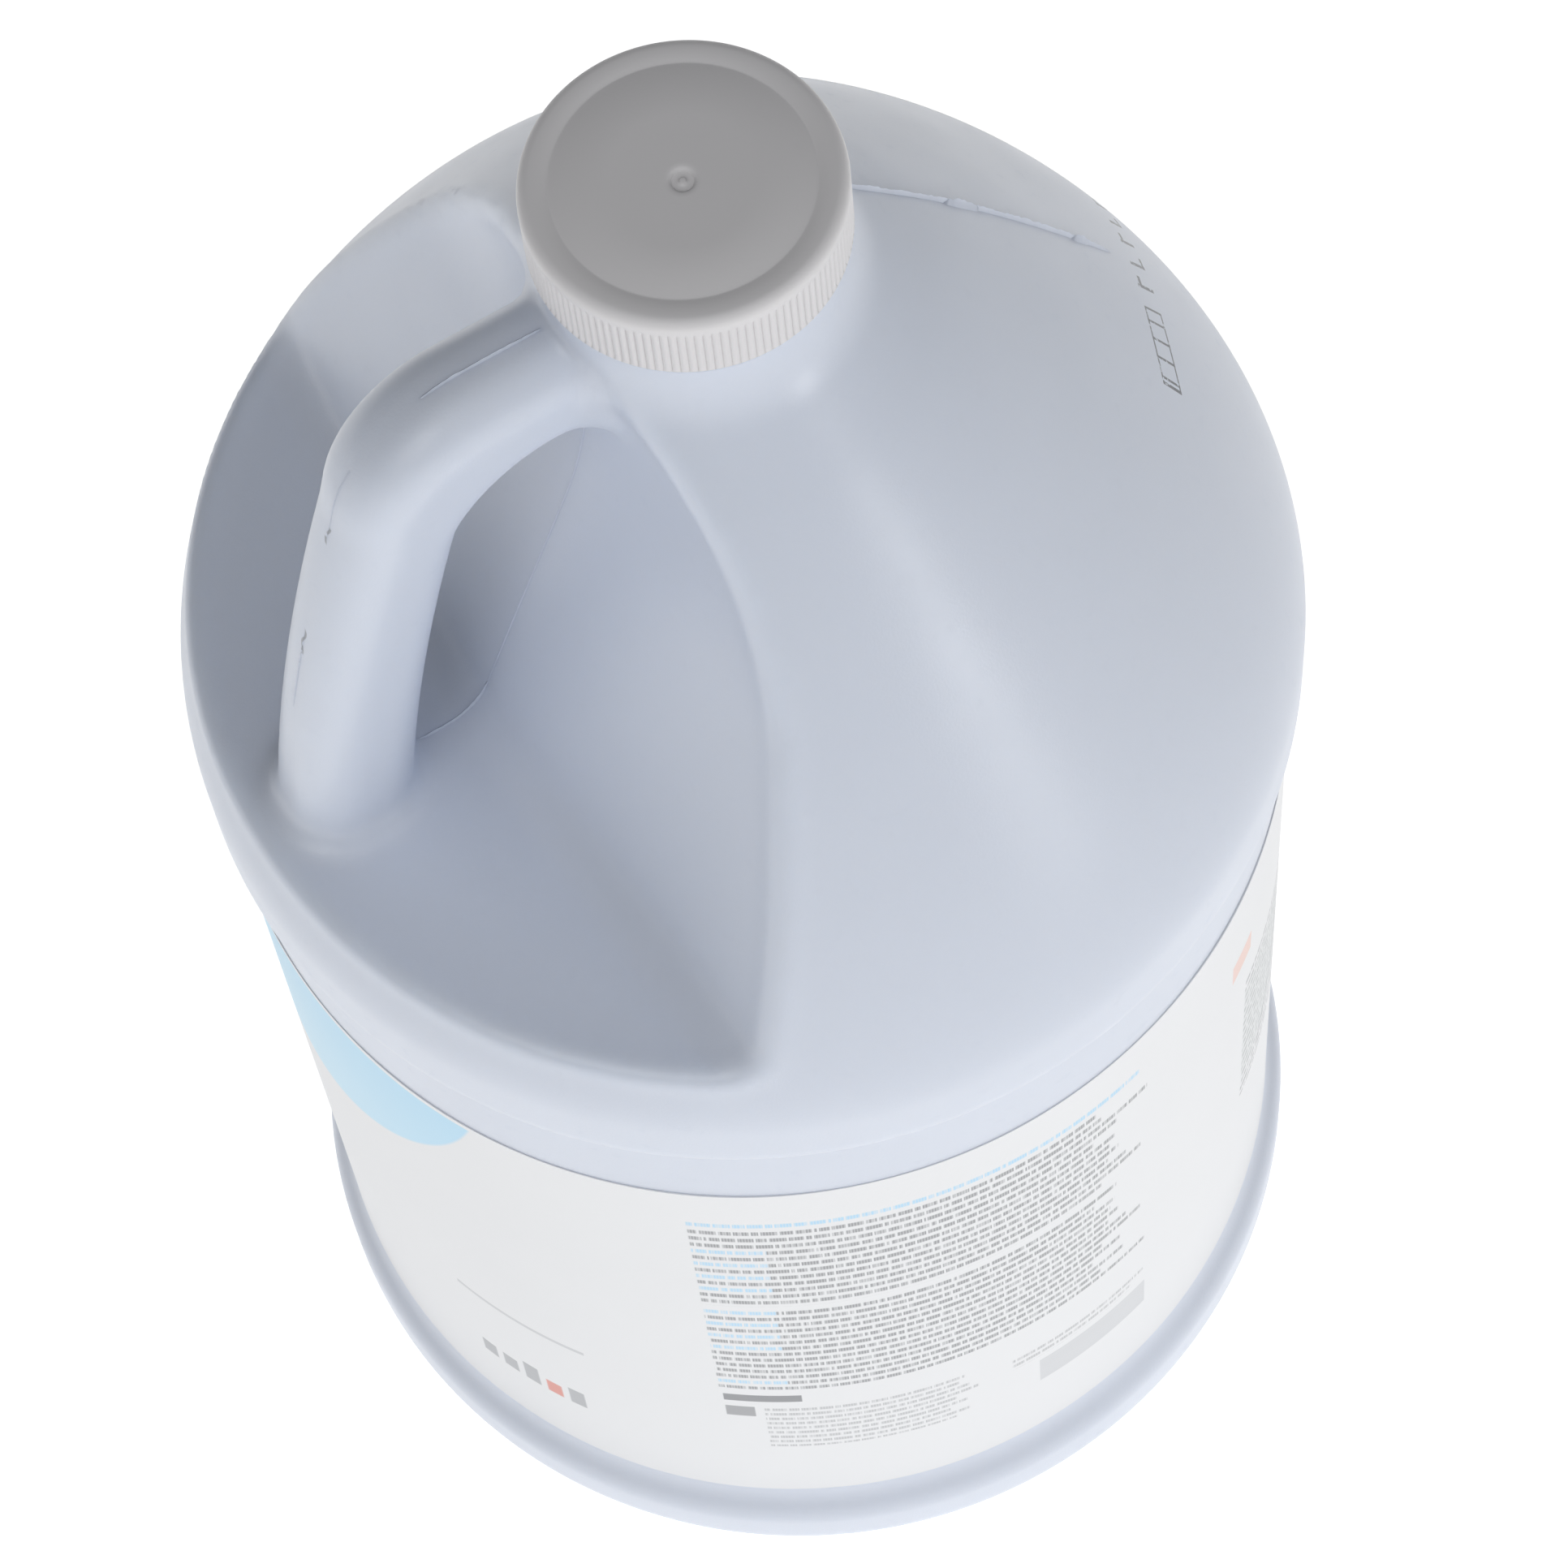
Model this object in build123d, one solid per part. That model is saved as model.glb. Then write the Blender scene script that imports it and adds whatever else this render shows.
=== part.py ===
from build123d import *
import os
from math import atan2, cos, degrees, pi, radians, sin, sqrt, tan

# Round one-gallon detergent jug with a pass-through handle and a ribbed screw cap.
# The jug stands on its foot at z = 0 with its axis on Z. The mould parts on the plane
# y = 0 and the handle points along -X.

# Label panel, whose radius and top height set the size of the jug
PANEL_RADIUS = 74.55
PANEL_TOP = 172.4

# Base: a bulge, a stand ring and a pushed-up middle
BULGE_STEP = 2.85
BULGE_TOP = 15.3
FOOT_ROUND = 10.2
STAND_WIDTH = 7.2
DRAW_IN_HEIGHT = 8.7
PUSH_UP_HEIGHT = 5.0
PUSH_UP_RUN = 14.0

# Rim and shoulder
RIM_STEP = 1.75
RIM_STEP_HEIGHT = 4.4
RIM_LAND = 8.4
SHOULDER_HEIGHT = 85.0
CONE_SPREAD = 9.5
CONE_SLOPE = 49.5
RIM_PULL = 19.9
CONE_PULL = 21.2

# Neck and threaded finish
FINISH_RADIUS = 17.4
FINISH_HEIGHT = 9.6
FINISH_WALL = 1.8
NECK_LEDGE = 1.8
NECK_FLARE = 14.0
NECK_LAND = 1.8
THREAD_PITCH = 4.233
THREAD_TURNS = 1.1
THREAD_DEPTH = 1.1
THREAD_ROOT = 2.4
THREAD_CREST = 1.0
THREAD_DROP = 1.2
THREAD_BITE = 0.3

# Wall of the blown bottle
WALL = 1.1

# Handle: an arm level from the neck, an elbow and a leaning grip
ARM_DROP = 4.0
ELBOW_OUTSIDE = 15.0
ELBOW_INSIDE = 9.0
GRIP_SETBACK = 26.74
GRIP_DROP = 34.29
GRIP_LEAN = 14.8
HANDLE_THICK = 17.0
HANDLE_WIDE = 15.4
HANDLE_CORNER = 6.8
ROOT_ROUND = 4.0
ROOT_SHARE = 0.6
ROOT_DEPTH = 12.0

# Pockets that the handle bridges: a leaning back wall over a floor
FLOOR_RISE = 13.6
FLOOR_DRAFT = 1.0
CROWN_GAP = 0.5
BACK_LEAN = 22.8
BACK_GAP = 2.6
BACK_RISE = 43.0
BACK_BEND = 64.0
BACK_DRAFT = 4.6
CREASE_ROUND = 8.0
RIDGE_ROUND = 3.0

# Screw cap
CAP_WALL = 1.0
CAP_ROOF = 1.3
CAP_LIP_GAP = 0.8
CAP_EDGE = 1.5
CAP_THREAD_GAP = 0.25
CAP_THREAD_DEPTH = 0.95
CAP_THREAD_ROOT = 1.9
CAP_THREAD_CREST = 0.7
CAP_FLANK_GAP = 0.12
CAP_THREAD_LAG = 90.0
RIB_COUNT = 120
RIB_DEPTH = 0.3
RIB_TOP_MARGIN = 2.2
TOP_RING_INSET = 3.55
TOP_RING_WIDTH = 0.5
TOP_RING_DEPTH = 0.12
GATE_RADIUS = 1.5
GATE_DEPTH = 0.5
GATE_NUB_RADIUS = 0.5
GATE_NUB_HEIGHT = 0.35

# Liner, label and contents
LINER_THICKNESS = 0.9
LINER_GAP = 0.3
LABEL_FOOT_GAP = 1.2
LABEL_HEAD_GAP = 15.0
LABEL_THICKNESS = 0.12
LABEL_GAP = 0.02
LABEL_WRAP = 356.0
LABEL_SEAM = 66.0
FILL_DROP = 12.2
FILL_GAP = 0.3

# Radii that follow
BULGE_RADIUS = PANEL_RADIUS + BULGE_STEP
PUSH_UP_RADIUS = BULGE_RADIUS - FOOT_ROUND - STAND_WIDTH - PUSH_UP_RUN
RIM_RADIUS = PANEL_RADIUS + RIM_STEP
BORE_RADIUS = FINISH_RADIUS - FINISH_WALL
NECK_RADIUS = FINISH_RADIUS + NECK_LEDGE
CONE_RADIUS = NECK_RADIUS + CONE_SPREAD
BACK_REACH = NECK_RADIUS + BACK_GAP
CAP_BORE = FINISH_RADIUS + THREAD_DEPTH + CAP_THREAD_GAP
CAP_RADIUS = CAP_BORE + CAP_WALL
TOP_RING_RADIUS = CAP_RADIUS - TOP_RING_INSET
GRIP_REACH = PANEL_RADIUS - GRIP_SETBACK + HANDLE_THICK / 2 / cos(radians(GRIP_LEAN))

# Heights that follow
RIM_TOP = PANEL_TOP + RIM_STEP_HEIGHT + RIM_LAND
CONE_HEIGHT = RIM_TOP + SHOULDER_HEIGHT
FLARE_TURN = radians(90 - CONE_SLOPE)
FLARE_END = NECK_RADIUS + NECK_FLARE * (1 - cos(FLARE_TURN))
FLARE_RISE = (CONE_RADIUS - FLARE_END) * tan(radians(CONE_SLOPE)) + NECK_FLARE * sin(FLARE_TURN)
NECK_TOP = CONE_HEIGHT + FLARE_RISE + NECK_LAND
MOUTH = NECK_TOP + FINISH_HEIGHT
CAP_BOTTOM = NECK_TOP + CAP_LIP_GAP
CAP_CEILING = MOUTH + LINER_THICKNESS
CAP_TOP = CAP_CEILING + CAP_ROOF
ARM_TOP = NECK_TOP - ARM_DROP
GRIP_LEVEL = ARM_TOP - GRIP_DROP
FLOOR_HEIGHT = RIM_TOP + FLOOR_RISE
BACK_LEVEL = FLOOR_HEIGHT + BACK_RISE
LABEL_BOTTOM = BULGE_TOP + DRAW_IN_HEIGHT + LABEL_FOOT_GAP
LABEL_HEIGHT = PANEL_TOP - LABEL_HEAD_GAP - LABEL_BOTTOM
FILL_HEIGHT = CONE_HEIGHT - FILL_DROP

# Level floor between the crease and the foot of the grip, which limits the grip's root rounding
GRIP_FOOT = (
    GRIP_REACH
    - HANDLE_THICK / cos(radians(GRIP_LEAN))
    + (GRIP_LEVEL - FLOOR_HEIGHT) * tan(radians(GRIP_LEAN))
)
CREASE_FOOT = (
    BACK_REACH
    + BACK_RISE * tan(radians(BACK_LEAN))
    + CREASE_ROUND * tan(radians(90 - BACK_LEAN) / 2)
)
ROOT_RADIUS = min(ROOT_ROUND, ROOT_SHARE * (GRIP_FOOT - CREASE_FOOT))


def s_bend(start, heading, run, step, inset_first, inset_second, side):
    """Two arcs that carry a line sideways by step over run, turning first to side, then back."""
    turn = 2 * atan2(step, run)
    radius = run / sin(turn) / 2
    first = JernArc(start, heading, radius + inset_first, side * degrees(turn))
    return JernArc(first @ 1, first % 1, radius + inset_second, -side * degrees(turn))


def body_form(inset):
    """The jug turned about its axis, up to the neck's ledge, drawn in by inset."""
    slope = radians(CONE_SLOPE)
    cone_end = Vector(CONE_RADIUS - inset * sin(slope), CONE_HEIGHT - inset * cos(slope))
    cone_way = Vector(cos(slope), -sin(slope))
    flare_run = (CONE_RADIUS - FLARE_END) / cos(slope)
    with BuildSketch(Plane.XZ) as section:
        with BuildLine():
            hollow = Line((0, PUSH_UP_HEIGHT + inset), (PUSH_UP_RADIUS, PUSH_UP_HEIGHT + inset))
            foot = s_bend(hollow @ 1, (1, 0), PUSH_UP_RUN, PUSH_UP_HEIGHT, inset, -inset, -1)
            stand = Line(foot @ 1, (BULGE_RADIUS - FOOT_ROUND, inset))
            heel = JernArc(stand @ 1, (1, 0), FOOT_ROUND - inset, 90)
            bulge = Line(heel @ 1, (BULGE_RADIUS - inset, BULGE_TOP))
            bulge_step = BULGE_RADIUS - PANEL_RADIUS
            draw_in = s_bend(bulge @ 1, (0, 1), DRAW_IN_HEIGHT, bulge_step, -inset, inset, 1)
            panel = Line(draw_in @ 1, (PANEL_RADIUS - inset, PANEL_TOP))
            rim_step = RIM_RADIUS - PANEL_RADIUS
            draw_out = s_bend(panel @ 1, (0, 1), RIM_STEP_HEIGHT, rim_step, inset, -inset, -1)
            rim = Line(draw_out @ 1, (RIM_RADIUS - inset, RIM_TOP))
            shoulder = Bezier(
                rim @ 1,
                (RIM_RADIUS - inset, RIM_TOP + RIM_PULL),
                cone_end + CONE_PULL * cone_way,
                cone_end,
            )
            cone = Line(shoulder @ 1, cone_end - flare_run * cone_way)
            flare = JernArc(cone @ 1, cone % 1, NECK_FLARE + inset, -degrees(FLARE_TURN))
            neck = Line(flare @ 1, (NECK_RADIUS - inset, NECK_TOP - inset))
            ledge = Line(neck @ 1, (0, NECK_TOP - inset))
            Line(ledge @ 1, hollow @ 0)
        make_face()
    return revolve(section.sketch, Axis.Z)


def pocket_outline(inset, side_way):
    """Side view of the space behind the grip, side_way from the parting plane."""
    lean = radians(BACK_LEAN)
    back = inset + side_way * tan(radians(BACK_DRAFT))
    floor = FLOOR_HEIGHT - inset - side_way * tan(radians(FLOOR_DRAFT))
    bend = BACK_BEND + back
    centre_x = -BACK_REACH - BACK_BEND * cos(lean)
    centre_z = BACK_LEVEL + BACK_BEND * sin(lean)
    turn = pi / 2 - lean
    corner = CREASE_ROUND + inset
    wall_start = Vector(centre_x + bend * cos(lean), centre_z - bend * sin(lean))
    wall_way = Vector(-sin(lean), -cos(lean))
    wall_run = (wall_start.Y - floor) / cos(lean) - corner * tan(turn / 2)
    outside = -1.2 * BULGE_RADIUS
    crown = NECK_TOP - CROWN_GAP
    with BuildLine() as outline:
        crown_x = centre_x + sqrt(bend**2 - (crown - centre_z) ** 2)
        bow = ThreePointArc((crown_x, crown), (centre_x + bend, centre_z), wall_start)
        wall = Line(bow @ 1, wall_start + wall_run * wall_way)
        crease = JernArc(wall @ 1, wall_way, corner, -degrees(turn))
        ground = Line(crease @ 1, (outside, floor))
        face = Line(ground @ 1, (outside, crown))
        Line(face @ 1, bow @ 0)
    return Plane.XZ.offset(side_way) * outline.line


def pocket_form(inset):
    """Both pockets as one cutter, drafted each way from the parting plane."""
    reach = 1.2 * BULGE_RADIUS
    half = loft([make_face(pocket_outline(inset, way)) for way in (0, reach)], ruled=True)
    return half + mirror(half, Plane.XZ)


def handle_form(inset):
    """Arm, elbow and grip as one rounded bar whose ends lie inside the body."""
    lean = radians(GRIP_LEAN)
    half_wide = HANDLE_WIDE / 2 - inset
    root = FLOOR_HEIGHT - ROOT_DEPTH
    with BuildLine() as outline:
        sides = []
        for level, reach, bend in (
            (ARM_TOP - inset, GRIP_REACH - inset / cos(lean), ELBOW_OUTSIDE - inset),
            (
                ARM_TOP - HANDLE_THICK + inset,
                GRIP_REACH - (HANDLE_THICK - inset) / cos(lean),
                ELBOW_INSIDE + inset,
            ),
        ):
            corner = reach + (GRIP_LEVEL - level) * tan(lean)
            end = reach + (GRIP_LEVEL - root) * tan(lean)
            start = -NECK_RADIUS / 2
            sides.append(
                FilletPolyline((start, level), (-corner, level), (-end, root), radius=bend)
            )
        Line(sides[0] @ 0, sides[1] @ 0)
        Line(sides[0] @ 1, sides[1] @ 1)
    bar = extrude(Plane.XZ * make_face(outline.line), half_wide, both=True)
    flanks = bar.faces().sort_by(Axis.Y)
    long_edges = [
        edge
        for flank in (flanks[0], flanks[-1])
        for edge in flank.edges()
        if (edge @ 0.5).X < -NECK_RADIUS / 2 - 0.1 and (edge @ 0.5).Z > root + 0.1
    ]
    return bar.fillet(HANDLE_CORNER - inset, long_edges)


def shared_edges(solid, first, second):
    """Edges of solid that lie on the skins of both forms it was made from."""
    skins = (first.shells()[0], second.shells()[0])
    found = []
    for edge in solid.edges():
        spots = [Vertex(*(edge @ part)) for part in (0.25, 0.5)]
        if all(skin.distance_to(spot) < 0.005 for skin in skins for spot in spots):
            found.append(edge)
    return found


def shell_form(inset):
    """Body and pockets without the handle, the ridge round the pockets rounded."""
    body = body_form(inset)
    pocket = pocket_form(inset)
    notched = body - pocket
    return notched.fillet(RIDGE_ROUND - inset, shared_edges(notched, body, pocket))


def screw_thread(root_radius, crest_radius, root_width, crest_width, low, turns, start):
    """A right-hand thread of THREAD_PITCH, bitten into its wall, from height low at angle start."""
    depth = abs(crest_radius - root_radius)
    buried_radius = root_radius - THREAD_BITE * (crest_radius - root_radius) / depth
    buried_width = root_width + THREAD_BITE * (root_width - crest_width) / depth
    helix = Helix(THREAD_PITCH, THREAD_PITCH * turns, root_radius)
    section = Polyline(
        (buried_radius, 0, -buried_width / 2),
        (crest_radius, 0, -crest_width / 2),
        (crest_radius, 0, crest_width / 2),
        (buried_radius, 0, buried_width / 2),
        close=True,
    )
    rib = sweep(make_face(section), path=helix, is_frenet=True)
    return Pos(0, 0, low) * Rot(0, 0, start) * rib


def mouth_finish():
    """Threaded tube above the neck's ledge."""
    tube = Pos(0, 0, NECK_TOP - WALL / 2) * Cylinder(
        FINISH_RADIUS, FINISH_HEIGHT + WALL / 2, align=(Align.CENTER, Align.CENTER, Align.MIN)
    )
    thread_top = MOUTH - THREAD_DROP - THREAD_ROOT / 2
    thread = screw_thread(
        FINISH_RADIUS,
        FINISH_RADIUS + THREAD_DEPTH,
        THREAD_ROOT,
        THREAD_CREST,
        thread_top - THREAD_PITCH * THREAD_TURNS,
        THREAD_TURNS,
        0,
    )
    return tube + thread


def make_bottle():
    """The blown bottle: one wall all round, open at the bore and through the handle."""
    bore = Pos(0, 0, NECK_TOP - 3 * WALL) * Cylinder(
        BORE_RADIUS, FINISH_HEIGHT + 4 * WALL, align=(Align.CENTER, Align.CENTER, Align.MIN)
    )
    outside = shell_form(0)
    cavity = shell_form(WALL)
    handle = handle_form(0)
    jug = outside - cavity - bore
    jug += handle - cavity
    roots = [
        edge
        for edge in shared_edges(jug, outside, handle)
        if (edge @ 0.5).Z < FLOOR_HEIGHT + ROOT_ROUND
    ]
    jug = jug.fillet(ROOT_RADIUS, roots)
    jug -= handle_form(WALL)
    return jug + (mouth_finish() - bore)


def make_cap():
    """Ribbed cap with a ringed top, a gate mark and an internal thread."""
    base = (Align.CENTER, Align.CENTER, Align.MIN)
    blank = Pos(0, 0, CAP_BOTTOM) * Cylinder(CAP_RADIUS, CAP_TOP - CAP_BOTTOM, align=base)
    blank = fillet(blank.edges().sort_by(Axis.Z)[-1], CAP_EDGE)
    notch = Circle(RIB_DEPTH)
    notches = Sketch() + [loc * notch for loc in PolarLocations(CAP_RADIUS, RIB_COUNT)]
    blank -= extrude(Pos(0, 0, CAP_BOTTOM) * notches, CAP_TOP - CAP_BOTTOM - RIB_TOP_MARGIN)
    blank -= Pos(0, 0, CAP_BOTTOM) * Cylinder(CAP_BORE, CAP_CEILING - CAP_BOTTOM, align=base)
    ring = Circle(TOP_RING_RADIUS) - Circle(TOP_RING_RADIUS - TOP_RING_WIDTH)
    blank -= extrude(Pos(0, 0, CAP_TOP - TOP_RING_DEPTH) * ring, TOP_RING_DEPTH)
    gate_floor = CAP_TOP - GATE_DEPTH
    blank -= Pos(0, 0, gate_floor) * Cylinder(GATE_RADIUS, GATE_DEPTH, align=base)
    nub = Pos(0, 0, gate_floor) * Cylinder(GATE_NUB_RADIUS, GATE_NUB_HEIGHT, align=base)
    meet = (THREAD_ROOT + THREAD_CREST + CAP_THREAD_ROOT + CAP_THREAD_CREST) / 4
    thread_bottom = MOUTH - THREAD_DROP - THREAD_ROOT / 2 - THREAD_PITCH * THREAD_TURNS
    thread = screw_thread(
        CAP_BORE,
        CAP_BORE - CAP_THREAD_DEPTH,
        CAP_THREAD_ROOT,
        CAP_THREAD_CREST,
        thread_bottom - meet - CAP_FLANK_GAP + THREAD_PITCH * CAP_THREAD_LAG / 360,
        THREAD_TURNS,
        CAP_THREAD_LAG,
    )
    return blank + nub + thread


def make_liner():
    """Foam disc between the mouth and the cap's ceiling."""
    base = (Align.CENTER, Align.CENTER, Align.MIN)
    return Pos(0, 0, MOUTH) * Cylinder(CAP_BORE - LINER_GAP, LINER_THICKNESS, align=base)


def make_label():
    """Film wrapped round the panel, its ends short of each other at the seam."""
    inner = PANEL_RADIUS + LABEL_GAP
    outer = inner + LABEL_THICKNESS
    strip = Pos(inner + LABEL_THICKNESS / 2, LABEL_BOTTOM + LABEL_HEIGHT / 2) * Rectangle(
        outer - inner, LABEL_HEIGHT
    )
    band = revolve(Plane.XZ * strip, Axis.Z, LABEL_WRAP)
    return Rot(0, 0, LABEL_SEAM + (360 - LABEL_WRAP) / 2) * band


def make_detergent():
    """Liquid that fills the bottle and the foot of the hollow handle up to FILL_HEIGHT."""
    above = Pos(0, 0, FILL_HEIGHT) * Box(
        4 * BULGE_RADIUS, 4 * BULGE_RADIUS, CAP_TOP, align=(Align.CENTER, Align.CENTER, Align.MIN)
    )
    gap = WALL + FILL_GAP
    return shell_form(gap) + handle_form(gap) - above


PIECES = {
    "bottle": make_bottle,
    "screw_cap": make_cap,
    "cap_liner": make_liner,
    "label": make_label,
    "detergent": make_detergent,
}

os.makedirs("parts", exist_ok=True)
for name, make in PIECES.items():
    piece = make()
    export_step(piece, f"parts/{name}.step")
    box = piece.bounding_box()
    print(name, f"{piece.volume / 1000:.1f} cm3, top {box.max.Z:.1f}, solids {len(piece.solids())}")
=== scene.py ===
import math

import bpy
import numpy as np
from mathutils import Matrix, Vector


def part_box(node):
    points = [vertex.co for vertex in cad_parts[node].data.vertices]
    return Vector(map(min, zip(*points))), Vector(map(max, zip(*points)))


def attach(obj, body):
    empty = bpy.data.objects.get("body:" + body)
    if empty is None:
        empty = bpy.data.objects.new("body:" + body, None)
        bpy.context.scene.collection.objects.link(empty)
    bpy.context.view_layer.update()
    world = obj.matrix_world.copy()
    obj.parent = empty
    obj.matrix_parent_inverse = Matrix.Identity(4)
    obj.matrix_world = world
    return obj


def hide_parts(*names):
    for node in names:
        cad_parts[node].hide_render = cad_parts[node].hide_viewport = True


# A one-gallon detergent jug. Lengths are in millimetres until a mesh is made, in metres.
MM = 0.001

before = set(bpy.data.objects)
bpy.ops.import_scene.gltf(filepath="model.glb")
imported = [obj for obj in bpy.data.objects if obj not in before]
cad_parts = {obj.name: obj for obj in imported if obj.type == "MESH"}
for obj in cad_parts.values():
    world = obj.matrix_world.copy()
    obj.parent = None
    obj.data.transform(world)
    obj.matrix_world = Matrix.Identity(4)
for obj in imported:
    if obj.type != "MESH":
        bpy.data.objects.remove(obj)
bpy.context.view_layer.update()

# Sizes of the blown bottle that its frame doesn't state
PANEL_RADIUS = 74.55
PANEL_TOP = 172.4
BULGE_TOP = 15.3
FOOT_ROUND = 10.2
DRAW_IN_HEIGHT = 8.7
PUSH_UP_HEIGHT = 5.0
PUSH_UP_RADIUS = 46.0
PUSH_UP_RUN = 14.0
RIM_RADIUS = 76.3
RIM_STEP_HEIGHT = 4.4
RIM_LAND = 8.4
SHOULDER_HEIGHT = 85.0
CONE_RADIUS = 28.7
CONE_SLOPE = math.radians(49.5)
RIM_PULL = 19.9
CONE_PULL = 21.2
NECK_RADIUS = 19.2
NECK_FLARE = 14.0
WALL = 1.1
BULGE_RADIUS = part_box("bottle")[1].x / MM

# Threaded mouth
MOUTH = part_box("bottle")[1].z / MM
FINISH_HEIGHT = 9.6
FINISH_RADIUS = 17.4
BORE_RADIUS = 15.6
THREAD_PITCH = 4.233
THREAD_TURNS = 1.1
THREAD_DEPTH = 1.1
THREAD_ROOT = 2.4
THREAD_CREST = 1.0
THREAD_DROP = 1.2
NECK_TOP = MOUTH - FINISH_HEIGHT

# Handle
ARM_TOP = NECK_TOP - 4.0
ELBOW_OUTSIDE = 15.0
ELBOW_INSIDE = 9.0
GRIP_REACH = 56.6
GRIP_LEVEL = 250.0
GRIP_LEAN = math.radians(14.8)
HANDLE_THICK = 17.0
HANDLE_WIDE = 15.4
HANDLE_CORNER = 6.8

# Pockets each side of the handle
FLOOR_HEIGHT = 198.8
FLOOR_DRAFT = math.radians(1.0)
GRIP_END = FLOOR_HEIGHT - 12  # hidden inside the shoulder
BACK_LEAN = math.radians(22.8)
BACK_REACH = 21.8
BACK_LEVEL = 241.8
BACK_BEND = 64.0
BACK_DRAFT = math.radians(4.6)
CREASE_ROUND = 4.5
RIDGE_ROUND = 1.7
RIDGE_BEAD = 0.4

# Heights between which the bottle is no longer a plain turned form
FORM_BOTTOM = 168.0
FORM_TOP = NECK_TOP - 0.9
CONE_HEIGHT = PANEL_TOP + RIM_STEP_HEIGHT + RIM_LAND + SHOULDER_HEIGHT


# ---------------------------------------------------------------- form of the bottle


def s_bend(radius, height, step, run, count=10):
    """Points of two equal arcs that carry a wall sideways by step over a rise of run."""
    turn = 2 * math.atan2(abs(step), run)
    bend = run / math.sin(turn) / 2
    points = []
    for part in np.linspace(0, 1, count):
        angle = turn * part
        points.append((bend * (1 - math.cos(angle)), bend * math.sin(angle)))
    back = [(abs(step) - across, run - up) for across, up in reversed(points[:-1])]
    side = math.copysign(1, step)
    return [(radius + side * across, height + up) for across, up in points + back]


def side_profile():
    """Radius and height of the jug's side, from the floor up to the neck's ledge."""
    points = [(BULGE_RADIUS, 0.0)]
    points += s_bend(BULGE_RADIUS, BULGE_TOP, PANEL_RADIUS - BULGE_RADIUS, DRAW_IN_HEIGHT)
    points += s_bend(PANEL_RADIUS, PANEL_TOP, RIM_RADIUS - PANEL_RADIUS, RIM_STEP_HEIGHT)
    rim_top = PANEL_TOP + RIM_STEP_HEIGHT + RIM_LAND
    way = np.array([math.cos(CONE_SLOPE), -math.sin(CONE_SLOPE)])
    corners = [np.array([RIM_RADIUS, rim_top]), np.array([RIM_RADIUS, rim_top + RIM_PULL])]
    end = np.array([CONE_RADIUS, CONE_HEIGHT])
    corners += [end + CONE_PULL * way, end]
    for part in np.linspace(0, 1, 240):
        rest = 1 - part
        weights = (rest**3, 3 * rest**2 * part, 3 * rest * part**2, part**3)
        points.append(tuple(sum(w * c for w, c in zip(weights, corners))))
    turn = math.pi / 2 - CONE_SLOPE
    flare_radius = NECK_RADIUS + NECK_FLARE * (1 - math.cos(turn))
    flare_height = CONE_HEIGHT + (CONE_RADIUS - flare_radius) * math.tan(CONE_SLOPE)
    for part in np.linspace(0, 1, 40):
        angle = turn * (1 - part)
        across = NECK_FLARE * (1 - math.cos(angle))
        up = NECK_FLARE * (math.sin(turn) - math.sin(angle))
        points.append((NECK_RADIUS + across, flare_height + up))
    points.append((NECK_RADIUS, NECK_TOP + 5))
    return np.array(points)


SIDE = side_profile()
SIDE_HEIGHTS = np.arange(0, NECK_TOP + 4, 0.05)
SIDE_RADII = np.interp(SIDE_HEIGHTS, SIDE[:, 1], SIDE[:, 0])
SIDE_SLOPES = np.gradient(SIDE_RADII, SIDE_HEIGHTS)


def round_and(first, second, radius):
    """Distance to what two forms share, their outer corner rounded."""
    corner = np.hypot(np.maximum(first + radius, 0), np.maximum(second + radius, 0))
    return np.minimum(np.maximum(first, second), -radius) + corner


def round_or(first, second, radius):
    """Distance to two forms joined, the inner corner between them filled."""
    corner = np.hypot(np.maximum(radius - first, 0), np.maximum(radius - second, 0))
    return np.maximum(np.minimum(first, second), radius) - corner


def turned_distance(x, y, z):
    """Distance to the side of the jug without its pockets and handle."""
    radius = np.interp(z, SIDE_HEIGHTS, SIDE_RADII)
    slope = np.interp(z, SIDE_HEIGHTS, SIDE_SLOPES)
    return (np.hypot(x, y) - radius) / np.sqrt(1 + slope**2)


def pocket_distance(x, y, z):
    """Distance to the air of the two pockets, drafted each way from the parting plane."""
    out = np.abs(y)
    centre_x = -BACK_REACH - BACK_BEND * math.cos(BACK_LEAN)
    centre_z = BACK_LEVEL + BACK_BEND * math.sin(BACK_LEAN)
    bend = BACK_BEND + out * math.tan(BACK_DRAFT)
    across = x - centre_x
    up = z - centre_z
    along = -across * math.sin(BACK_LEAN) - up * math.cos(BACK_LEAN)
    straight = across * math.cos(BACK_LEAN) - up * math.sin(BACK_LEAN)
    back = np.where(along > 0, straight, np.hypot(across, up)) - bend
    floor = FLOOR_HEIGHT - out * math.tan(FLOOR_DRAFT) - z
    return round_and(back, floor, CREASE_ROUND)


def grip_bow(z):
    """How far the grip stands out of its straight line: a slight bow, drawn in at the foot."""
    part = np.clip((GRIP_LEVEL + 15 - z) / 65, 0, 1.1)
    return 4.7 * part - 6.2 * part**2


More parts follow.
